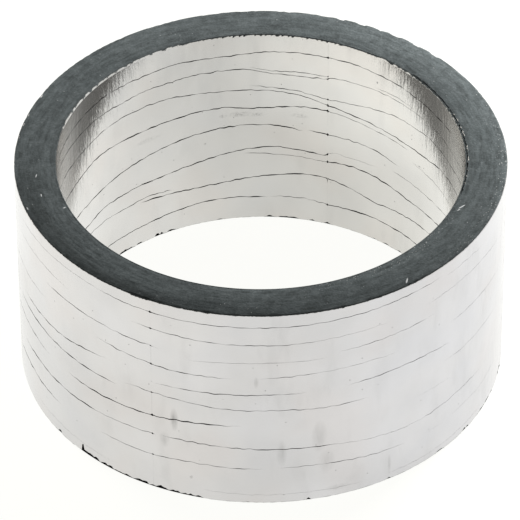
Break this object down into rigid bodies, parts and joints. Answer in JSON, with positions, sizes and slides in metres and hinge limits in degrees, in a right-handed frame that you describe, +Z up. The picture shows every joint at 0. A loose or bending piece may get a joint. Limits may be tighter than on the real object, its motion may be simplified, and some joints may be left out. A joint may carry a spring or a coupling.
{
  "type": "exhaust gasket",
  "caption": "Short cylindrical ring of pressed graphite that seals a slip joint between an exhaust pipe and its muffler sleeve.",
  "frame": {"origin": "middle of the lower end face, on the bore's axis, on the surface the ring stands on", "axes": "+Z up along the bore's axis, +X to the right and -Y towards the viewer in the picture"},
  "size_m": [0.053, 0.053, 0.026],
  "materials": {
    "graphite": "die-burnished graphite, silver on the walls and dark grey on the ends"
  },
  "bodies": {
    "root": {"gasket_ring": "graphite"}
  },
  "joints": []
}
